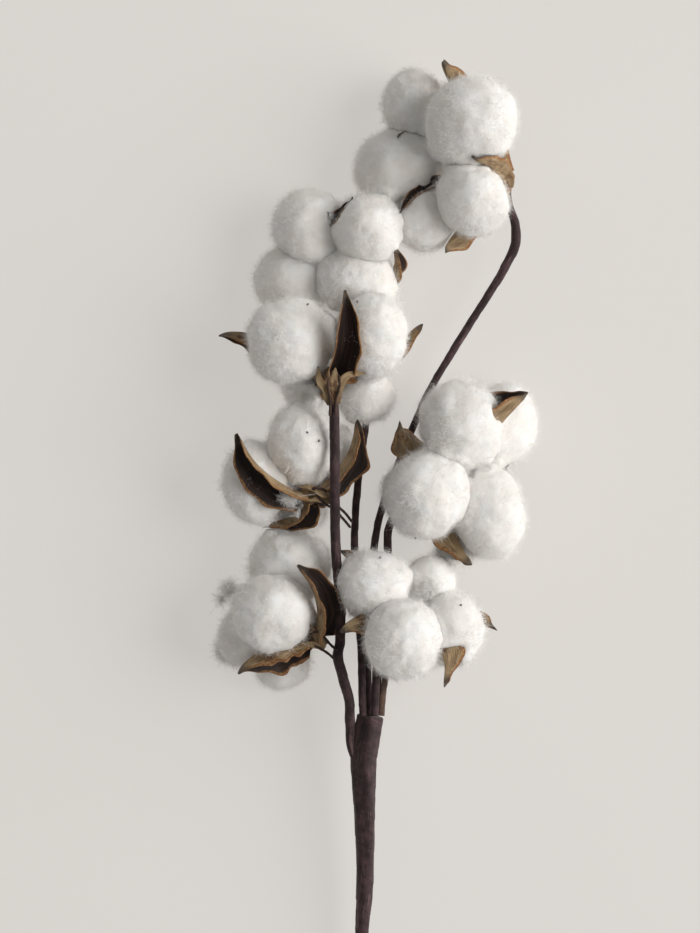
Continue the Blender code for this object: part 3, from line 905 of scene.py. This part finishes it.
# %% Bracts
# The places are in millimetres, from the branch outwards, and then comes half the width.
BRACTS = {
    "upper_left": (
        (((-18.3, 103.5, 48.2), (-20.4, 109, 49.6), (-22.8, 113.5, 50.4), (-23.4, 118.5, 49.6)), 1.8),
        (((-17.4, 104.5, 48.4), (-19.0, 110, 50.2), (-19.2, 116.8, 51.6)), 1.6),
        (((-16.4, 104, 47.8), (-15.4, 110, 49.0), (-12.0, 114.8, 49.6), (-4.5, 116.0, 47.0)), 1.8),
        (((-17.6, 104.5, 47.8), (-17.4, 111, 50.2), (-16.6, 118, 51.8)), 2.4),
    ),
    "middle_left": (
        (((-17.6, 66.0, 41.4), (-22.6, 68.2, 42.6), (-27, 70.2, 42), (-32, 70.6, 40.4)), 1.7),
        (((-18.2, 65.2, 40.8), (-23.4, 65.8, 42.0), (-29.5, 65.0, 41.0)), 1.4),
    ),
    "lower_left": (
        (((-20.4, 7.4, 35.0), (-24.4, 11.4, 36.6), (-27.0, 15.8, 37.4)), 1.7),
        (((-20.8, 6.4, 34.4), (-26.0, 8.0, 36.2), (-31.4, 7.6, 36.6)), 1.5),
    ),
    "top": (
        (((52.8, 190.6, 26.6), (51.6, 194.6, 33.0), (46.6, 197.6, 41.5), (41.0, 199.8, 46.5)), 2.4),
        (((53.2, 191.4, 27), (52.8, 196.0, 31.5), (50.6, 200.0, 36.5)), 2.0),
        (((52.2, 191.2, 28.4), (49.4, 192.0, 34.0), (46.0, 194.4, 41.0)), 1.8),
    ),
}
BRACT_STEP = 0.8  # between cross-sections
BRACT_POINTS = 10  # points round a cross-section
BRACT_THICK = 0.35  # half the thickness
KNOB_MARKS = (0.3, 0.4, 0.1)  # the knob takes one tone all over


def bract_rings(places, half_width, knob, seed):
    """Closed cross-sections of one curled, pointed strip, with the three numbers of each point."""
    path = smooth_path(places, BRACT_STEP)
    rings, marks = [], []
    for i, centre in enumerate(path):
        t = i / (len(path) - 1)
        along = (path[min(i + 1, len(path) - 1)] - path[max(i - 1, 0)]).normalized()
        beside = along.cross(centre - knob).normalized()
        out = beside.cross(along).normalized()
        wave = noise.noise(Vector((5 * t, seed, 0)))
        width = half_width * (0.12 + 0.88 * math.sin(math.pi * (0.3 + 0.7 * t))) * (1 + 0.4 * wave)
        ring = []
        for k in range(BRACT_POINTS):
            turn = 2 * math.pi * k / BRACT_POINTS
            v = math.cos(turn)
            curl = (0.8 * v**2 + 0.5 * v * noise.noise(Vector((3 * t, seed, 4)))) * width * 0.6
            lift = BRACT_THICK * math.sin(turn) + curl
            ring.append(centre + v * width * beside + lift * out)
            marks.append((0.25 + 0.3 * (math.sin(turn) > 0), v, 0.9 * t))
        rings.append(ring)
    return rings, marks


def make_bur(name, seed):
    """One bur as a piece: its valves, its bracts and its knob."""
    knob, valves = Vector(BURS[name]["calyx"]), BURS[name]["valves"]
    points, faces, numbers = [], [], []
    for i, valve in enumerate(valves):
        rings, marks = valve_rings(knob, valve, seed + 3.7 * i)
        add_closed(points, faces, numbers, rings, marks)
    for i, (places, half_width) in enumerate(BRACTS.get(name, ())):
        rings, marks = bract_rings(places, half_width, knob, seed + 2.3 * i)
        add_closed(points, faces, numbers, rings, marks)
    rings = knob_points(knob, seed)
    add_closed(points, faces, numbers, rings, [KNOB_MARKS] * (KNOB_TURNS * (KNOB_RINGS - 1)))
    for p in points:
        p.z = max(p.z, 0)
    columns = list(zip(*numbers))
    stored = {"trough": columns[0], "across": columns[1], "along": columns[2]}
    mesh = make_mesh(name + "_bur", points, faces, HUSK_FINISH, stored)
    return add_piece(name + "_bur", mesh, [name + "_boll_bur"])


# %% Burs of all seven bolls
BARE = []  # pieces that the fuzz keeps clear of
for number, name in enumerate(BURS, 1):
    bur = make_bur(name, 11.3 * number)
    BARE.append(bur)
    print(bur.name, len(bur.data.vertices), "points")

# %% [markdown]
# ## Branches, main stem and wires
# Every branch is a wire wrapped in tape. It is a tube swept along its route. Round it goes the winding:
# a step where the tape's edge lies on the last turn, and creases that run with the stem. The main
# stem also shows the branches inside it as soft lobes at its upper end.

# %% Routes
# Each branch runs down through x, y, z with its radius there, in millimetres.
STEMS = {
    "upper_left_stem": (
        (-18.2, 111.5, 42, 1.9), (-17.2, 103, 46, 2.0), (-16.8, 81, 46.5, 2.0),
        (-16.8, 67, 45, 2.0), (-16.4, 45, 41, 2.0), (-14.6, 23, 36.5, 2.0), (-14.8, 9.4, 33.5, 2.0),
        (-15.6, 2.2, 31.5, 2.1), (-13.6, -6, 29, 2.1), (-11.2, -15, 27, 2.0),
        (-10.8, -23, 25.6, 2.0), (-10.4, -32, 24.2, 2.0), (-8.4, -40, 23.2, 1.8),
    ),
    "upper_back_stem": (
        (-17.6, 157.4, 6, 1.5), (-15, 146, 5.6, 1.5), (-9, 128, 6.4, 1.5), (-4, 108, 9, 1.5),
        (-4.6, 95, 12, 1.5), (-7.6, 72, 17, 1.5), (-9, 49, 21, 1.5), (-8, 28, 23, 1.5),
        (-6.4, 6, 25, 1.5), (-6, -10, 25.6, 1.5), (-5.6, -21.6, 25.6, 1.5),
    ),
    "top_stem": (
        (52.6, 192.4, 25.6, 1.2), (53.6, 183.8, 24, 1.4), (56, 175.4, 22.4, 1.9),
        (55.6, 167.4, 21.4, 2.0), (51.6, 159, 20.4, 1.8), (47.2, 151.4, 19.6, 1.6),
        (33.2, 129.4, 17, 1.5), (20.4, 107.4, 14.4, 1.5), (10.5, 84, 13.6, 1.5),
        (2.4, 62.6, 15.2, 1.5), (-1.2, 44.6, 17.4, 1.5), (-3.6, 9.4, 20.4, 1.5),
        (-3.2, -21.6, 21.4, 1.5),
    ),
    "right_stem": (
        (32.6, 76, 8.6, 1.5), (20, 69, 9, 1.5), (9.6, 61.4, 12.6, 1.5), (4.8, 53.6, 17, 1.6),
        (4.4, 43, 20, 1.6), (2.4, 25, 23, 1.6), (0.6, 9.4, 25.4, 1.6), (-0.4, -8, 26.6, 1.6),
        (-1, -21.6, 26.4, 1.6),
    ),
    "lower_right_stem": (
        (11.6, 17, 17.2, 1.7), (7.6, 8, 18.6, 1.8), (3.6, -4, 21.6, 1.8), (2, -13, 22.6, 1.8),
        (1.2, -21.6, 22.6, 1.8),
    ),
    "main_stem": (
        (-2.4, -22, 24, 5.4), (-4.2, -32, 23, 5.5), (-5.2, -40, 22.2, 5.3), (-4.9, -58, 20.4, 4.4),
        (-4.6, -80, 18, 3.6), (-5, -95, 16.4, 3.4), (-5.9, -108, 15, 2.8), (-6.8, -135, 12.2, 2.5),
        (-6.5, -170, 8.8, 2.5), (-5, -205, 5.4, 2.5), (-3, -240, 2.3, 2.5),
    ),
}
# Each wire is a hairpin: out along a branch, round through the calyx and back.
WIRES = {
    "upper_left_wire": (
        (-18.8, 99, 49.2), (-18.6, 105, 49.8), (-19.6, 110.5, 51), (-19.2, 114.5, 50.4),
        (-17.4, 116.6, 48.4), (-15.4, 114.5, 50.4), (-15, 110.5, 51), (-16.4, 105, 49.8),
        (-16.6, 100, 49.2),
    ),
    "middle_left_wire": (
        (-10.8, 54.4, 24.4), (-13.4, 57.6, 30), (-17.4, 61.8, 36), (-21.4, 64.6, 42),
        (-25.4, 69.8, 42.8), (-21, 69.4, 42.4), (-17.6, 64.6, 37.6), (-13, 60.4, 31.6),
        (-10.2, 56.8, 25.6),
    ),
    "lower_left_wire": (
        (-16.8, 1.6, 34.6), (-20.4, 4.6, 35.2), (-26.6, 8.4, 35.8), (-26.4, 11.8, 37),
        (-23, 12.6, 37.2), (-19, 8, 35.8), (-16, 5.2, 35.2),
    ),
}
WIRE = 0.55  # radius of the wire
WIRE_STEP = 0.7  # between cross-sections
STEM_STEP = 0.6
WIRE_TWIST = 0.05


# %% [markdown]
# A swept tube keeps its cross-section square to the route, and turns with it as little as it can. The
# relief is a function of the angle round the tube and the way along it.

# %% Swept tubes
TAPE_STEP = 0.16  # how far the tape's edge stands off the turn below it
LOBES_END = 75  # length over which the lobes of the bundle fade
STEM_SIDES, MAIN_STEM_SIDES, WIRE_SIDES = 28, 48, 12


def sweep(name, path, sides, relief, material):
    """A tube along (x, y, z, radius). `relief` gives what the surface adds at an angle and length."""
    centres = [Vector(p[:3]) for p in path]
    across = Vector((0, 0, 1))
    length = 0.0
    rings, unrolled = [], []
    for i, centre in enumerate(centres):
        if i:
            length += (centre - centres[i - 1]).length
        along = (centres[min(i + 1, len(centres) - 1)] - centres[max(i - 1, 0)]).normalized()
        across = (across - across.dot(along) * along).normalized()
        beside = along.cross(across)
        radius = path[i][3]
        ring = []
        for k in range(sides):
            turn = 2 * math.pi * k / sides
            spoke = math.cos(turn) * across + math.sin(turn) * beside
            point = centre + (radius + relief(turn, length, radius)) * spoke
            point.z = max(point.z, 0)
            ring.append(point)
            flat = Vector((radius * math.cos(turn), radius * math.sin(turn), length))
            unrolled.append(flat * MM)
        rings.append(ring)
    points, faces, numbers = [], [], []
    add_closed(points, faces, numbers, rings, unrolled)
    return make_mesh(name, points, faces, material, {"unrolled": numbers})


def tape_relief(seed):
    """The winding of one taped stem."""
    pitch = TAPE_PITCH / MM

    def relief(turn, length, radius):
        signed = turn if turn <= math.pi else turn - 2 * math.pi
        phase = (signed / (2 * math.pi) + length / pitch) % 1
        round_it = Vector((math.cos(turn), math.sin(turn), 0))
        wrinkle = noise.noise(2.2 * radius * round_it + Vector((0, 0, 0.35 * length + seed)))
        swell = noise.noise(Vector((seed, 0, 0.09 * length)))
        return TAPE_STEP * (phase - 0.5) + 0.14 * wrinkle + 0.12 * swell

    return relief


def bundle_relief(seed):
    """The main stem: taped, over branches that show as lobes until the tape pulls them together."""
    wound = tape_relief(seed)

    def relief(turn, length, radius):
        lobes = max(0.0, 1 - length / LOBES_END)
        twist = turn + 0.012 * length
        bulge = 0.5 * math.cos(3 * twist + 0.6) + 0.35 * math.cos(5 * twist)
        return wound(turn, length, radius) + lobes * bulge

    return relief


def wire_relief(turn, length, _radius):
    """Bare paper-covered wire, with a fine twist."""
    return WIRE_TWIST * math.cos(2 * turn + 2.2 * length)


# %% Stem pieces
for number, (name, points) in enumerate(STEMS.items()):
    path = smooth_path(points, STEM_STEP)
    main = name == "main_stem"
    relief = bundle_relief(number * 3.1) if main else tape_relief(number * 3.1)
    finish = BARK if name == "lower_right_stem" else TAPE
    sides = MAIN_STEM_SIDES if main else STEM_SIDES
    mesh = sweep(name + "_taped", path, sides, relief, finish)
    stem = add_piece(name + "_taped", mesh, [name])
    BARE.append(stem)
    print(stem.name, len(mesh.polygons), "faces")

for name, points in WIRES.items():
    path = [Vector((*p, WIRE)) for p in smooth_path(points, WIRE_STEP)]
    mesh = sweep(name + "_wound", path, WIRE_SIDES, wire_relief, WIRE_FINISH)
    add_piece(name + "_wound", mesh, [name])

# %% [markdown]
# ## Loose fibres
# The haze round a lock is thousands of fibres that leave the surface and bend back to it. Hair curves
# would not survive an export, so each fibre is a thin, bent strip. Six strips are drawn here, and
# Geometry Nodes scatter copies with random turns and sizes. Where a slow noise is high they stand
# longer and closer together, which gives wisps.

# %% Fibre strips
FIBRE_WIDTH = 0.06 * MM  # at the foot. A tip is less than half as wide
# Each fibre runs through these places in millimetres. The surface is z = 0.
FIBRES = (
    ((0, 0, -0.3), (1.1, 0.4, 0.7), (2.7, 0.2, 0.4)),
    ((0, 0, -0.3), (0.6, 0.8, 1.1), (2.0, 0.6, 1.2)),
    ((0, 0, -0.3), (1.3, -0.1, 0.5), (2.6, 1.2, 0.4)),
    ((0, 0, -0.3), (0.5, 0.3, 1.4), (1.7, -0.7, 1.8)),
    ((0, 0, -0.3), (1.6, 0.3, 0.4), (3.5, 0.1, 0.3)),
    ((0, 0, -0.3), (0.2, -1.0, 1.2), (-1.2, -1.6, 1.0)),
)


def make_fibres():
    """The strips, in a collection that the scene doesn't show."""
    strips = bpy.data.collections.new("fibre_strips")
    for number, route in enumerate(FIBRES):
        points = []
        for i, place in enumerate(route):
            ahead = Vector(route[min(i + 1, len(route) - 1)]) - Vector(route[max(i - 1, 0)])
            side = ahead.cross(Vector((0.3, 0.2, 1))).normalized()
            half = 0.5 * FIBRE_WIDTH * (1 - 0.6 * i / (len(route) - 1))
            points += [Vector(place) * MM - half * side, Vector(place) * MM + half * side]
        faces = [(2 * i, 2 * i + 1, 2 * i + 3, 2 * i + 2) for i in range(len(route) - 1)]
        mesh = bpy.data.meshes.new(f"fibre_{number}")
        mesh.from_pydata(points, [], faces)
        strips.objects.link(bpy.data.objects.new(mesh.name, mesh))
    return strips


FIBRE_STRIPS = make_fibres()

# %% Fuzz tree
WISP_SCALE = 95.0  # of the noise that thickens the strays, per metre
BARE_MARGIN = (0.8 * MM, 2.6 * MM)  # no fibres nearer to husk or tape, and all of them further off


def make_fuzz_tree():
    """Scatters the strips over a lock: a close coat, and longer strays where a slow noise is high."""
    tree, start, end = start_tree(
        "Cotton fuzz",
        [
            ("Strips", "NodeSocketCollection"),
            ("Bare", "NodeSocketObject"),
            ("Coat", "NodeSocketFloat"),
            ("Strays", "NodeSocketFloat"),
            ("Length", "NodeSocketFloat"),
            ("Seed", "NodeSocketInt"),
            ("Material", "NodeSocketMaterial"),
        ],
    )
    strips = add_node(
        tree,
        "GeometryNodeCollectionInfo",
        {"Collection": start.outputs["Strips"], "Separate Children": True, "Reset Children": True},
    ).outputs[0]
    place = tree.nodes.new("GeometryNodeInputPosition").outputs[0]
    cloud = add_node(
        tree, "ShaderNodeTexNoise", {"Vector": place, "Scale": WISP_SCALE, "Detail": 3.0}
    ).outputs[0]
    wisp = ramp(tree, cloud, 0.52, 0.68)
    bare = add_node(tree, "GeometryNodeObjectInfo", {"Object": start.outputs["Bare"]})
    distance = add_node(
        tree,
        "GeometryNodeProximity",
        {0: bare.outputs["Geometry"]},
        target_element="FACES",
    ).outputs["Distance"]
    clear = ramp(tree, distance, *BARE_MARGIN)
    joined = tree.nodes.new("GeometryNodeJoinGeometry")
    for layer, density, tilt, small, large in (
        # number, density, greatest lean in radians, smallest and largest size
        (0, start.outputs["Coat"], 0.9, 0.4, 1.3),
        (1, calculate(tree, "MULTIPLY", wisp, start.outputs["Strays"]), 1.0, 0.9, 2.0),
    ):
        density = calculate(tree, "MULTIPLY", density, clear)
        seed = calculate(tree, "ADD", start.outputs["Seed"], 100 * layer)
        scattered = add_node(
            tree,
            "GeometryNodeDistributePointsOnFaces",
            {"Mesh": start.outputs[0], "Density": density, "Seed": seed},
        )
        low = (-tilt, -tilt, -math.pi)
        high = (tilt, tilt, math.pi)
        lean = add_node(
            tree, "FunctionNodeRandomValue", {0: low, 1: high, "Seed": seed}, data_type="FLOAT_VECTOR"
        ).outputs[0]
        size = add_node(
            tree,
            "FunctionNodeRandomValue",
            {2: small, 3: large, "Seed": calculate(tree, "ADD", seed, 7)},
            data_type="FLOAT",
        ).outputs[1]
        size = calculate(tree, "MULTIPLY", size, start.outputs["Length"])
        turned = add_node(
            tree,
            "FunctionNodeRotateRotation",
            {
                "Rotation": scattered.outputs["Rotation"],
                "Rotate By": add_node(tree, "FunctionNodeEulerToRotation", {0: lean}).outputs[0],
            },
            rotation_space="LOCAL",
        )
        placed = add_node(
            tree,
            "GeometryNodeInstanceOnPoints",
            {
                "Points": scattered.outputs["Points"],
                "Instance": strips,
                "Pick Instance": True,
                "Rotation": turned.outputs[0],
                "Scale": size,
            },
        )
        tree.links.new(placed.outputs[0], joined.inputs[0])
    real = add_node(tree, "GeometryNodeRealizeInstances", {"Geometry": joined.outputs[0]})
    clear = keep_above_floor(tree, real.outputs[0])
    painted = add_node(
        tree, "GeometryNodeSetMaterial", {"Geometry": clear, "Material": start.outputs["Material"]}
    )
    tree.links.new(painted.outputs[0], end.inputs[0])
    return tree


FUZZ_TREE = make_fuzz_tree()
print("tree:", FUZZ_TREE.name, "with", len(FUZZ_TREE.nodes), "nodes")

# %% [markdown]
# Lint doesn't grow on husk or tape. All burs and stems are joined into one hidden helper, and the tree
# measures each point's distance to it.

# %% What the fuzz keeps clear of
def join_meshes(name, pieces):
    """One helper object made of the pieces' meshes. The scene doesn't show it."""
    joined = bmesh.new()
    for piece in pieces:
        joined.from_mesh(piece.data)
    mesh = bpy.data.meshes.new(name)
    joined.to_mesh(mesh)
    joined.free()
    return link_object(name, mesh)


bare_pieces = join_meshes("bare_pieces", BARE)
print("bare pieces:", len(BARE), "with", len(bare_pieces.data.polygons), "faces")

# %% Fuzz on every lock
COAT = 4.2e6  # fibres for each square metre
STRAYS = 1.9e6
TUFT_SHARE = 5.0  # tufts are this much more thickly covered
TUFT_LENGTH = 1.5  # and their fibres are longer

for number, node in enumerate(LOCKS):
    tuft = node.startswith("tuft")
    share = TUFT_SHARE if tuft else 1
    run_tree(
        LOCKS[node],
        FUZZ_TREE,
        {
            "Strips": FIBRE_STRIPS,
            "Bare": bare_pieces,
            "Coat": COAT * share,
            "Strays": STRAYS * share,
            "Length": TUFT_LENGTH if tuft else 1.0,
            "Seed": number + 1,
            "Material": LINT,
        },
    )
    add_piece(node + "_fuzz", plain_mesh(LOCKS[node], node + "_fuzz"))
fuzz_faces = [len(bpy.data.objects[node + "_fuzz"].data.polygons) for node in LOCKS]
print("fuzz:", sum(fuzz_faces), "strip faces,", max(fuzz_faces), "on the largest lock")
bpy.data.objects.remove(bare_pieces)

# %% [markdown]
# ## Floor, light and camera
# The bunch lies on a pale surface under one large, soft light from its right, and the sky gives an even
# fill. The floor gives off part of its own light, as milk glass over lamps does, so its shadows stay pale.
# The camera looks straight down.

# %% Stage
FLOOR_HALF = 3.0
FLOOR_GLOW = 1.8  # the floor's own light, as through a sheet of milk glass, keeps shadows pale


def make_floor():
    """A flat, pale sheet."""
    material, tree, shader = start_material("floor", Roughness=0.9, Specular_IOR_Level=0.1)
    place = object_place(tree)
    clouds = streaks(tree, place, (1, 1, 1), 5, 2)
    tint = mix_colours(tree, clouds, colour(0.27, 0.2593, 0.245), colour(0.274, 0.2645, 0.2535))
    tree.links.new(tint, shader.inputs["Base Color"])
    tree.links.new(tint, shader.inputs["Emission Color"])
    shader.inputs["Emission Strength"].default_value = FLOOR_GLOW
    half = FLOOR_HALF
    corners = [(-half, -half, 0), (half, -half, 0), (half, half, 0), (-half, half, 0)]
    mesh = bpy.data.meshes.new("floor")
    mesh.from_pydata(corners, [], [(0, 1, 2, 3)])
    mesh.materials.append(material)
    link_object("floor", mesh)


def add_key(offset, size, power, tint):
    """A round lamp that faces the bunch."""
    light = bpy.data.lights.new("key", "AREA")
    light.shape = "DISK"
    light.size = size
    light.energy = power
    light.color = tint
    lamp = link_object("key", light)
    lamp.location = VIEW_CENTRE + Vector(offset)
    lamp.rotation_euler = (-Vector(offset)).to_track_quat("-Z", "Y").to_euler()


VIEW_CENTRE = Vector((-0.0108, 0.0788, 0.035))
make_floor()
add_key((2.35, 0.3, 1.7), 2.7, 92.0, (1.0, 0.985, 0.965))
world = bpy.data.worlds.new("studio")
world.use_nodes = True
sky = world.node_tree.nodes["Background"]
sky.inputs["Color"].default_value = colour(1.0, 0.985, 0.96)
sky.inputs["Strength"].default_value = 0.25
bpy.context.scene.world = world
bpy.context.scene.view_settings.view_transform = "Standard"
print("stage: floor, key lamp and sky")

# %% Camera
CAMERA_HEIGHT = 1.6
lens = bpy.data.cameras.new("camera")
lens.sensor_width = 36
lens.lens = 154.3
camera = link_object("camera", lens)
camera.location = VIEW_CENTRE + Vector((0, 0, CAMERA_HEIGHT))
bpy.context.scene.camera = camera
print("camera:", round(lens.lens, 1), "mm lens,", CAMERA_HEIGHT, "m above the bunch")
